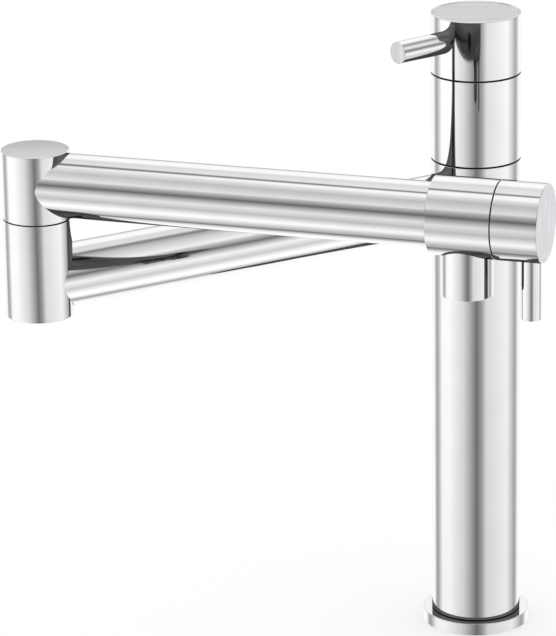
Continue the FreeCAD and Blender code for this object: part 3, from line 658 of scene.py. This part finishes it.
def make_base():
    flange = turn("flange", [
        (FOOT_SPIGOT_R, 0, INNER_EDGE), (GASKET[0], 0), (GASKET[0], GASKET_THICKNESS),
        (GASKET[1], GASKET_THICKNESS), (GASKET[1], 0), (FLANGE_R, 0, SEAM_EDGE),
        (FLANGE_R, FLANGE_TOP, TOP_EDGE), (FOOT_SPIGOT_R, FLANGE_TOP, INNER_EDGE)])
    place_piece(flange, "column", "polished_chrome", "base_flange")
    ring = cylinder_walls(GASKET[1] - SCREWED, 0, GASKET_THICKNESS, GASKET[0] + SCREWED)
    gasket = turn("flange_gasket", ring, "black_rubber")
    place_piece(gasket, "column", "black_rubber", "base_gasket")
    foot = turn("inlet_foot", [
        (SHANK_R + SCREWED, 0), (FOOT_SPIGOT_R - SCREWED, 0), (FOOT_SPIGOT_R - SCREWED, FLANGE_TOP),
        (COLUMN_BORE - SCREWED, FLANGE_TOP), (COLUMN_BORE - SCREWED, FOOT_TOP, SOFT_EDGE), (0, FOOT_TOP),
        (0, SHANK_HIGH), (SHANK_R + SCREWED, SHANK_HIGH)], "raw_brass")
    for side in (-1, 1):
        port = moved(side * INLET_X, 0, 0)
        drill(foot, INLET_THREAD_R, SHANK_HIGH - OVERCUT, INLET_TOP, port)
        drill(foot, INLET_WEB_R, INLET_TOP - OVERCUT, RISER_LOW + OVERCUT, port)
        drill(foot, RISER_R, RISER_LOW, FOOT_TOP + OVERCUT, port)
    place_piece(foot, "column", "raw_brass", "column_foot")


def make_fixing():
    """Threaded shank, washers and nut below the deck."""
    length = SHANK_HIGH - SHANK_LOW
    rows = int(length / THREAD_PITCH * THREAD_ROWS)
    wall = [(SHANK_R, SHANK_LOW + length * row / rows) for row in range(rows + 1)]
    shank = turn("threaded_shank_piece", [(SHANK_BORE, SHANK_LOW)] + wall + [(SHANK_BORE, SHANK_HIGH)],
                 "raw_brass", facets=SMALL_FACETS, thread=True)
    place_piece(shank, "column", "raw_brass", "threaded_shank")
    high = DECK_UNDERSIDE
    bore = SHANK_R + SCREWED
    for name, node, finish in (("rubber_washer", "deck_rubber_washer", "black_rubber"),
                               ("clamp_washer", "deck_clamp_washer", "steel")):
        ring = turn(name, cylinder_walls(WASHER_R, high - WASHER_THICKNESS, high, bore), finish)
        place_piece(ring, "column", finish, node)
        high -= WASHER_THICKNESS
    corner = NUT_FLATS / 2 / math.cos(math.pi / 6)
    widest, end = corner + NUT_MARGIN, corner - NUT_CORNER
    nut = turn("clamp_nut", [
        (bore, NUT_LOW), (end, NUT_LOW), (widest, NUT_LOW + NUT_CORNER_HEIGHT),
        (widest, NUT_HIGH - NUT_CORNER_HEIGHT), (end, NUT_HIGH), (bore, NUT_HIGH)], "raw_brass")
    for side in range(6):
        outside = moved((NUT_FLATS + NUT_CUT) / 2, 0, (NUT_LOW + NUT_HIGH) / 2)
        facing = turned_about_z(60 * side + 30) @ outside
        cut(nut, block("nut_flat", (NUT_CUT, NUT_FLATS, 2 * NUT_CUT), facing))
    place_piece(nut, "column", "raw_brass", "backnut")


def make_column():
    low = LOWER_SEAM - HALF_SEAM
    tube = turn("column", cylinder_walls(COLUMN_R, FLANGE_TOP, low, COLUMN_BORE, FOOT_EDGE))
    place_piece(tube, "column", "polished_chrome", "column_tube")
    sleeve_r = BUSH_R - SCREWED
    lower = turn("lower_seam_ring", [
        (SPINDLE_R, low), (SLIDE_RING_R, low), (SLIDE_RING_R, low + SLIDE_RING), (sleeve_r, low + SLIDE_RING),
        (sleeve_r, low + BUSH_REACH), (SPINDLE_R, low + BUSH_REACH)], "black_slide_plastic")
    place_piece(lower, "column", "black_slide_plastic", "lower_slide_bush")
    high = UPPER_SEAM + HALF_SEAM
    upper = turn("upper_seam_ring", [
        (SPINDLE_R, high - BUSH_REACH), (sleeve_r, high - BUSH_REACH), (sleeve_r, high - SLIDE_RING),
        (SLIDE_RING_R, high - SLIDE_RING), (SLIDE_RING_R, high), (SPINDLE_R, high)], "black_slide_plastic")
    place_piece(upper, "column", "black_slide_plastic", "upper_slide_bush")
    body_high = HANDLE_SEAM - HALF_SEAM
    cartridge_high = body_high - CARTRIDGE_RECESS
    mixer = turn("mixer", [
        (SPIGOT_R, high), (COLUMN_R, high, SEAM_EDGE), (COLUMN_R, body_high, SEAM_EDGE),
        (CARTRIDGE_NUT_R, body_high), (CARTRIDGE_NUT_R, cartridge_high), (CARTRIDGE_R, cartridge_high),
        (CARTRIDGE_R, cartridge_high - CARTRIDGE_HEIGHT), (SPIGOT_R, cartridge_high - CARTRIDGE_HEIGHT)])
    place_piece(mixer, "column", "polished_chrome", "mixer_body")
    walls = cylinder_walls(SLIDE_RING_R, body_high, body_high + SLIDE_RING, CARTRIDGE_NUT_R)
    ring = turn("handle_seam_ring", walls, "black_slide_plastic")
    place_piece(ring, "column", "black_slide_plastic", "handle_slide_ring")


# Handle

def make_handle():
    low = HANDLE_SEAM + HALF_SEAM
    rim_r = COLUMN_R - CAP_RIM
    disc_r, disc_z = rim_r - CAP_DISC_SINK, TOP - CAP_DISC_SINK
    inner_low, inner_high = low + CAP_WALL, TOP - CAP_WALL
    cap = turn("cap", [
        (CAP_BORE, low), (COLUMN_R, low, SEAM_EDGE), (COLUMN_R, TOP, SOFT_EDGE), (rim_r, TOP, INNER_EDGE),
        (disc_r, disc_z), (0, disc_z), (0, HANDLE_Z + STEM_R), (STEM_R, HANDLE_Z + STEM_R),
        (STEM_R, inner_low), (CAP_BOSS_R, inner_low), (CAP_BOSS_R, inner_high), (CAP_BORE, inner_high)],
        place=ON_HANDLE)
    lever_place = ON_HANDLE @ moved(0, 0, HANDLE_Z) @ LEVEL
    drill(cap, HANDLE_LEVER_R, HANDLE_LEVER_SEAT, COLUMN_R + CLEAR, lever_place)
    satin_end(cap, Vector((0, 0, disc_z * MM)), Vector((0, 0, 1)), disc_r)
    place_piece(cap, "handle", "polished_chrome", "handle_cap")
    lever = turn("handle_pin", [
        (0, HANDLE_STUD_END), (HANDLE_STUD_R, HANDLE_STUD_END), (HANDLE_STUD_R, HANDLE_LEVER_SEAT),
        (HANDLE_LEVER_R, HANDLE_LEVER_SEAT), (HANDLE_LEVER_R, HANDLE_LEVER_REACH, SOFT_EDGE),
        (0, HANDLE_LEVER_REACH)], place=lever_place)
    tip = lever_place @ Vector((0, 0, HANDLE_LEVER_REACH * MM))
    satin_end(lever, tip, ON_HANDLE @ Vector((1, 0, 0)), HANDLE_LEVER_R - SOFT_EDGE)
    place_piece(lever, "handle", "polished_chrome", "handle_lever")


# Rear arm

def make_rear_arm():
    low, high = LOWER_SEAM + HALF_SEAM, UPPER_SEAM - HALF_SEAM
    bore = SPINDLE_R + SCREWED
    collar = turn("collar", [
        (BUSH_R, low), (COLUMN_R, low, SEAM_EDGE), (COLUMN_R, high, SEAM_EDGE), (BUSH_R, high),
        (BUSH_R, high - BUSH_LENGTH), (bore, high - BUSH_LENGTH), (bore, REAR_Z + HALF_CHANNEL),
        (CHANNEL_R, REAR_Z + HALF_CHANNEL), (CHANNEL_R, REAR_Z - HALF_CHANNEL), (bore, REAR_Z - HALF_CHANNEL),
        (bore, low + BUSH_LENGTH), (BUSH_R, low + BUSH_LENGTH)])
    drill(collar, MIXED_PORT_R, SPINDLE_R, COLUMN_R + CLEAR, ON_REAR_ARM @ moved(0, 0, REAR_Z) @ LEVEL)
    place_piece(collar, "rear_arm", "polished_chrome", "swivel_collar")
    tube = arm_tube("rear_arm_tube", COLUMN_R, REAR_ARM_LENGTH, ELBOW_R, REAR_Z, ON_REAR_ARM)
    place_piece(tube, "rear_arm", "polished_chrome", "rear_tube")
    seam_low = ELBOW_SEAM - HALF_ARM_SEAM
    bearing_r = PIVOT_R + SCREWED
    elbow = turn("elbow_lower_half", [
        (ELBOW_BORE, ELBOW_FOOT, INNER_EDGE), (ELBOW_R, ELBOW_FOOT, SOFT_EDGE),
        (ELBOW_R, seam_low, SEAM_EDGE), (bearing_r, seam_low), (bearing_r, REAR_Z + ELBOW_END),
        (ELBOW_BORE, REAR_Z + ELBOW_END)], place=AT_ELBOW)
    drill(elbow, ELBOW_PORT_R, -ELBOW_R - CLEAR, -PIVOT_R, AT_ELBOW @ moved(0, 0, REAR_Z) @ LEVEL)
    place_piece(elbow, "rear_arm", "polished_chrome", "lower_elbow")
    plug_r = ELBOW_BORE - SCREWED
    groove_low = ELBOW_FOOT + (ELBOW_PLUG - SEAL_GROOVE) / 2
    groove_high = groove_low + SEAL_GROOVE
    groove_r = plug_r - SEAL_GROOVE_DEPTH
    plug = turn("elbow_plug", [
        (0, ELBOW_FOOT), (plug_r, ELBOW_FOOT, SEAM_EDGE), (plug_r, groove_low), (groove_r, groove_low),
        (groove_r, groove_high), (plug_r, groove_high), (plug_r, ELBOW_FOOT + ELBOW_PLUG, SEAM_EDGE),
        (0, ELBOW_FOOT + ELBOW_PLUG)], place=AT_ELBOW)
    slot = (PLUG_SLOT_SHARE * plug_r, PLUG_SLOT_WIDTH, PLUG_SLOT_DEPTH + PLUG_SLOT_START)
    slot_place = AT_ELBOW @ moved(0, 0, ELBOW_FOOT + (PLUG_SLOT_DEPTH - PLUG_SLOT_START) / 2)
    cut(plug, block("plug_slot", slot, slot_place))
    place_piece(plug, "rear_arm", "polished_chrome", "lower_elbow_plug")
    walls = cylinder_walls(ELBOW_R - RING_INSET, seam_low, seam_low + ARM_SLIDE_RING, bearing_r)
    washer = turn("elbow_seam_ring", walls, "black_slide_plastic", AT_ELBOW)
    place_piece(washer, "rear_arm", "black_slide_plastic", "pivot_slide_washer")


# Front arm with the valve and the outlet

def make_front_arm():
    seam_high = ELBOW_SEAM + HALF_ARM_SEAM
    root = seam_high + PIVOT_ROOT
    shelf = ELBOW_TOP - ELBOW_CAP
    rim = ELBOW_R - ELBOW_RIM
    elbow = turn("elbow_upper_half", [
        (PIVOT_R, seam_high), (ELBOW_R, seam_high, SEAM_EDGE), (ELBOW_R, ELBOW_TOP, SOFT_EDGE),
        (rim, ELBOW_TOP, INNER_EDGE), (rim, shelf), (ELBOW_BORE, shelf), (ELBOW_BORE, root), (PIVOT_R, root)],
        place=AT_ELBOW)
    drill(elbow, ELBOW_PORT_R, PIVOT_R, ELBOW_R + CLEAR, ALONG_FRONT_ARM)
    place_piece(elbow, "front_arm", "polished_chrome", "upper_elbow")
    cap_r = rim - SCREWED
    groove_low = shelf + (ELBOW_CAP - SEAL_GROOVE) / 2
    groove_high = groove_low + SEAL_GROOVE
    groove_r = cap_r - SEAL_GROOVE_DEPTH
    cap = turn("elbow_top_disc", [
        (0, shelf), (cap_r, shelf), (cap_r, groove_low), (groove_r, groove_low), (groove_r, groove_high),
        (cap_r, groove_high), (cap_r, ELBOW_TOP, INNER_EDGE), (0, ELBOW_TOP)], "elbow_satin", AT_ELBOW)
    place_piece(cap, "front_arm", "satin_chrome", "elbow_cap")
    tube = arm_tube("front_arm_tube", ELBOW_R, TUBE_END, 0.0, FRONT_Z, ON_FRONT_ARM)
    place_piece(tube, "front_arm", "polished_chrome", "front_tube")
    valve_high = KNOB_SEAM - HALF_ARM_SEAM
    flange_low, headwork_low = valve_high - HEADWORK_FLANGE, TUBE_END + VALVE_WEB
    flange_r, headwork_r = HEADWORK_FLANGE_R + SCREWED, HEADWORK_R + SCREWED
    valve = turn("valve", [
        (ARM_R, VALVE_LOW, INNER_EDGE), (VALVE_R, VALVE_LOW, SOFT_EDGE), (VALVE_R, valve_high, SEAM_EDGE),
        (flange_r, valve_high), (flange_r, flange_low), (headwork_r, flange_low), (headwork_r, headwork_low),
        (VALVE_SEAT_R, headwork_low), (VALVE_SEAT_R, TUBE_END), (ARM_R, TUBE_END)], place=ALONG_FRONT_ARM)
    drill(valve, OUTLET_PORT_R, FRONT_Z - VALVE_R - CLEAR, FRONT_Z - OUTLET_PORT_DEPTH, AT_OUTLET)
    place_piece(valve, "front_arm", "polished_chrome", "valve_body")
    walls = cylinder_walls(VALVE_R - RING_INSET, valve_high, valve_high + ARM_SLIDE_RING, HEADWORK_FLANGE_R)
    ring = turn("knob_seam_ring", walls, "black_slide_plastic", ALONG_FRONT_ARM)
    place_piece(ring, "front_arm", "black_slide_plastic", "knob_slide_ring")
    nozzle = turn("nozzle", [
        (AERATOR_BORE, OUTLET_FOOT, INNER_EDGE), (OUTLET_R, OUTLET_FOOT, SOFT_EDGE), (OUTLET_R, FRONT_Z),
        (OUTLET_BORE, FRONT_Z), (OUTLET_BORE, OUTLET_FOOT + AERATOR_SOCKET),
        (AERATOR_BORE, OUTLET_FOOT + AERATOR_SOCKET)], place=AT_OUTLET)
    drill(nozzle, VALVE_R, VALVE_LOW - TOOL_START, KNOB_END, ALONG_FRONT_ARM, FACETS)
    place_piece(nozzle, "front_arm", "polished_chrome", "outlet_nozzle")
    make_aerator()


def make_aerator():
    low = OUTLET_FOOT + AERATOR_RECESS
    bore = AERATOR_R - AERATOR_WALL
    ledge = low + AERATOR_WALL
    high = low + AERATOR_LENGTH
    lip = bore - AERATOR_WALL / 2
    housing = turn("aerator_ring", [
        (bore, low), (AERATOR_R, low, SOFT_EDGE), (AERATOR_R, high), (bore, high), (bore, ledge),
        (lip, ledge), (lip, low + SOFT_EDGE), (bore, low + SOFT_EDGE)], place=AT_OUTLET)
    place_piece(housing, "front_arm", "polished_chrome", "aerator_housing")
    walls = cylinder_walls(bore, ledge, ledge + GRID_HEIGHT)
    insert = turn("aerator_grid", walls, "cartridge_plastic", AT_OUTLET)
    for ring in range(GRID_RINGS):
        count = max(1, 6 * ring)
        reach = GRID_PITCH * ring
        for step in range(count):
            angle = 2 * math.pi * step / count
            hole = AT_OUTLET @ moved(reach * math.cos(angle), reach * math.sin(angle), 0)
            drill(insert, GRID_HOLE_R, low, ledge + GRID_HEIGHT + CLEAR, hole, TINY_FACETS)
    place_piece(insert, "front_arm", "cartridge_plastic", "aerator_insert")


# Shut-off knob

def make_knob():
    low = KNOB_SEAM + HALF_ARM_SEAM
    bore = VALVE_R - KNOB_WALL
    boss_low = low + KNOB_BOSS_RECESS
    spindle_end = VALVE_LEVER_X + VALVE_STUD_R
    knob = turn("knob", [
        (bore, low), (VALVE_R, low, SEAM_EDGE), (VALVE_R, KNOB_END, SOFT_EDGE), (0, KNOB_END),
        (0, spindle_end), (KNOB_SPINDLE_R, spindle_end), (KNOB_SPINDLE_R, boss_low), (KNOB_BOSS_R, boss_low),
        (KNOB_BOSS_R, KNOB_END - KNOB_WALL), (bore, KNOB_END - KNOB_WALL)], place=ALONG_FRONT_ARM)
    drill(knob, VALVE_LEVER_R, -VALVE_R - CLEAR, -VALVE_LEVER_SEAT, VALVE_LEVER_PLACE)
    outwards = ON_FRONT_ARM.to_3x3() @ Vector((1, 0, 0))
    end = ALONG_FRONT_ARM @ Vector((0, 0, KNOB_END * MM))
    satin_end(knob, end, outwards, VALVE_R - SOFT_EDGE)
    place_piece(knob, "valve_knob", "polished_chrome", "knob_shell")
    lever = turn("knob_pin", [
        (0, -VALVE_LEVER_REACH), (VALVE_LEVER_R, -VALVE_LEVER_REACH, SOFT_EDGE),
        (VALVE_LEVER_R, -VALVE_LEVER_SEAT), (VALVE_STUD_R, -VALVE_LEVER_SEAT),
        (VALVE_STUD_R, -VALVE_STUD_END), (0, -VALVE_STUD_END)], place=VALVE_LEVER_PLACE)
    place_piece(lever, "valve_knob", "polished_chrome", "valve_lever")


def finish_inner_pieces():
    """Gives every node that is kept its finish."""
    for part in frame["record"]["subparts"]:
        node = frame["nodes"][part["node"]]
        node.data.materials.clear()
        node.data.materials.append(FINISHES[part["material_slot"]])


# Studio

def ramp(tree, value, stops):
    """Straight steps of brightness from (position, brightness) pairs, position from 0 to 1."""
    node = tree.nodes.new("ShaderNodeValToRGB")
    elements = node.color_ramp.elements
    while len(elements) > 1:
        elements.remove(elements[-1])
    elements[0].position = stops[0][0]
    elements[0].color = (stops[0][1],) * 3 + (1,)
    for position, brightness in stops[1:]:
        elements.new(position).color = (brightness,) * 3 + (1,)
    tree.links.new(value, node.inputs["Fac"])
    return node.outputs["Color"]


# The room that the plating mirrors, as brightness at degrees. By height above the horizon: a bright low card,
# a dark band at eye height and a bright high card
WALL_HEIGHTS = [
    (-90, 0.27), (-72, 0.38), (-64, 0.68), (-57, 0.95), (-51, 0.97), (-32, 0.57), (-18, 0.79), (-12, 0.88),
    (11, 0.15), (27, 0.55), (32, 0.84), (42, 0.70), (56, 0.50), (60, 0.545), (64, 0.59), (67, 0.63),
    (69, 0.70), (71, 0.79), (90, 0.85)]
# By direction, from behind the tap on the left, past the camera at 0, to behind it on the right: a card on
# each side, the dark opening that the camera looks through, and dark gaps between the cards and the backdrop
WALL_DIRECTIONS = [
    (-180, 1.0), (-145, 0.95), (-127, 0.40), (-117, 0.44), (-100, 1.0), (-75, 1.0), (-35, 0.70), (-15, 0.38),
    (-1, 0.16), (12, 0.33), (25, 0.72), (85, 0.92), (118, 0.36), (143, 0.97), (180, 1.0)]
# The same high up, where the ceiling closes the opening before the camera
CEILING_DIRECTIONS = [
    (-180, 1.0), (-145, 0.95), (-127, 0.22), (-117, 0.25), (-100, 0.95), (85, 0.92), (118, 0.22), (143, 0.97),
    (180, 1.0)]
CEILING_EDGE = (52.0, 68.0)
# The backdrop by height, with the floor's dim near part below and a dim upper part
BACKDROP_HEIGHTS = [
    (-90, 0.27), (-72, 0.36), (-64, 0.82), (-56, 1.04), (-8, 1.0), (8, 0.45), (18, 0.88), (27, 1.03),
    (44, 1.02), (53, 0.74), (66, 0.82), (90, 0.85)]
BACKDROP_EDGE = (130.0, 141.0)
WALL_LEVEL = 1.316
# What plating sees of the room in other plating: dimmer at each mirror, more so downwards and to the back,
# and more even
SECOND_MIRROR_UP = 0.19
SECOND_MIRROR_DOWN = 0.105
SECOND_MIRROR_TURN = (-10.0, 10.0)
BACK_LOSS = 0.45
EVEN_SHARE = 0.5
EVEN_LEVEL = 0.7
LIGHT_TINT = (1.0, 0.973, 1.0)
# The deck's disc, in metres, its grey, and the glow that lifts it to white for the camera
DECK_R = 6.0
DECK_SIDES = 64
DECK_GREY = 0.55
DECK_GLOW = 0.47
# The camera's lens and sensor in mm, the furthest that it sees, its tilt below level and its roll in degrees
LENS = 247.28
SENSOR = 36.0
FURTHEST = 50.0
PITCH = 18.14
ROLL = -0.84
CAMERA_PLACE = (-0.11109, -2.33096, 0.94536)


def along(stops, lowest, highest):
    """Stops of a ramp, from degrees to the range 0 to 1."""
    return [((degrees - lowest) / (highest - lowest), level) for degrees, level in stops]


def heights(ends):
    """Degrees above the horizon, from straight down to straight up, as 0 to 1."""
    return [(degrees + 90) / 180 for degrees in ends]


def studio_light():
    world = bpy.data.worlds.new("studio")
    bpy.context.scene.world = world
    world.use_nodes = True
    world.cycles.sampling_method = "NONE"
    tree = world.node_tree
    tree.nodes.clear()
    place = tree.nodes.new("ShaderNodeTexCoord")
    parts = tree.nodes.new("ShaderNodeSeparateXYZ")
    rays = tree.nodes.new("ShaderNodeLightPath")
    tree.links.new(place.outputs["Generated"], parts.inputs["Vector"])
    x, y, z = parts.outputs
    direction = number(tree, "DIVIDE", number(tree, "ARCTAN2", x, number(tree, "MULTIPLY", y, -1.0)), math.pi)
    round_turn = number(tree, "ADD", number(tree, "DIVIDE", direction, 2.0), 0.5)
    rise = number(tree, "ADD", number(tree, "DIVIDE", number(tree, "ARCSINE", z), math.pi), 0.5)
    by_height = ramp(tree, rise, along(WALL_HEIGHTS, -90, 90))
    low_down = ramp(tree, round_turn, along(WALL_DIRECTIONS, -180, 180))
    high_up = ramp(tree, round_turn, along(CEILING_DIRECTIONS, -180, 180))
    ceiling = between(tree, rise, *heights(CEILING_EDGE))
    by_direction = mixed(tree, ceiling, low_down, high_up)
    walls = mixed(tree, 1.0, by_height, by_direction, "MULTIPLY")
    walls = mixed(tree, 1.0, walls, WALL_LEVEL, "MULTIPLY")
    backdrop = ramp(tree, rise, along(BACKDROP_HEIGHTS, -90, 90))
    sideways = number(tree, "ABSOLUTE", direction)
    behind = between(tree, sideways, BACKDROP_EDGE[0] / 180, BACKDROP_EDGE[1] / 180)
    room = mixed(tree, behind, walls, backdrop)
    again = number(tree, "SUBTRACT", number(tree, "MAXIMUM", rays.outputs["Glossy Depth"], 1.0), 1.0)
    up = between(tree, rise, *heights(SECOND_MIRROR_TURN))
    brighter = number(tree, "MULTIPLY", up, SECOND_MIRROR_UP - SECOND_MIRROR_DOWN)
    kept = number(tree, "SUBTRACT", 1.0, number(tree, "MULTIPLY", behind, BACK_LOSS))
    one_mirror = number(tree, "MULTIPLY", number(tree, "ADD", brighter, SECOND_MIRROR_DOWN), kept)
    dimming = number(tree, "POWER", one_mirror, again)
    repeated = mixed(tree, 1.0, mixed(tree, EVEN_SHARE, room, EVEN_LEVEL), dimming, "MULTIPLY")
    room = mixed(tree, number(tree, "MINIMUM", again, 1.0), room, repeated)
    tinted = mixed(tree, 1.0, room, LIGHT_TINT, "MULTIPLY")
    seen = mixed(tree, rays.outputs["Is Glossy Ray"], 1.0, tinted)
    background = tree.nodes.new("ShaderNodeBackground")
    output = tree.nodes.new("ShaderNodeOutputWorld")
    tree.links.new(seen, background.inputs["Color"])
    tree.links.new(background.outputs["Background"], output.inputs["Surface"])


def make_deck():
    """Pale deck that stays white to the camera and keeps the tap's soft shadow."""
    shell = bmesh.new()
    bmesh.ops.create_circle(shell, cap_ends=True, segments=DECK_SIDES, radius=DECK_R)
    mesh = bpy.data.meshes.new("deck")
    shell.to_mesh(mesh)
    shell.free()
    deck = link_piece("deck", mesh)
    material = bpy.data.materials.new("pale_deck")
    material.use_nodes = True
    tree = material.node_tree
    tree.nodes.clear()
    plain = tree.nodes.new("ShaderNodeBsdfDiffuse")
    plain.inputs["Color"].default_value = (DECK_GREY,) * 3 + (1,)
    glow = tree.nodes.new("ShaderNodeEmission")
    rays = tree.nodes.new("ShaderNodeLightPath")
    both = tree.nodes.new("ShaderNodeAddShader")
    output = tree.nodes.new("ShaderNodeOutputMaterial")
    link = tree.links.new
    link(number(tree, "MULTIPLY", rays.outputs["Is Camera Ray"], DECK_GLOW), glow.inputs["Strength"])
    link(plain.outputs["BSDF"], both.inputs[0])
    link(glow.outputs["Emission"], both.inputs[1])
    link(both.outputs["Shader"], output.inputs["Surface"])
    mesh.materials.append(material)
    deck.visible_glossy = False


def make_camera():
    """The photograph's own view: from the front, a little left of the column, looking down."""
    lens = bpy.data.cameras.new("camera")
    lens.lens = LENS
    lens.sensor_width = SENSOR
    lens.clip_end = FURTHEST
    camera = bpy.data.objects.new("camera", lens)
    bpy.context.scene.collection.objects.link(camera)
    pitch = Matrix.Rotation(math.radians(90 - PITCH), 4, "X")
    roll = Matrix.Rotation(math.radians(ROLL), 4, "Z")
    camera.matrix_world = Matrix.Translation(CAMERA_PLACE) @ pitch @ roll
    bpy.context.scene.camera = camera


make_camera()
studio_light()
make_deck()
finish_inner_pieces()
make_base()
make_fixing()
make_column()
make_handle()
make_rear_arm()
make_front_arm()
make_knob()

bpy.context.scene.view_settings.view_transform = "Standard"
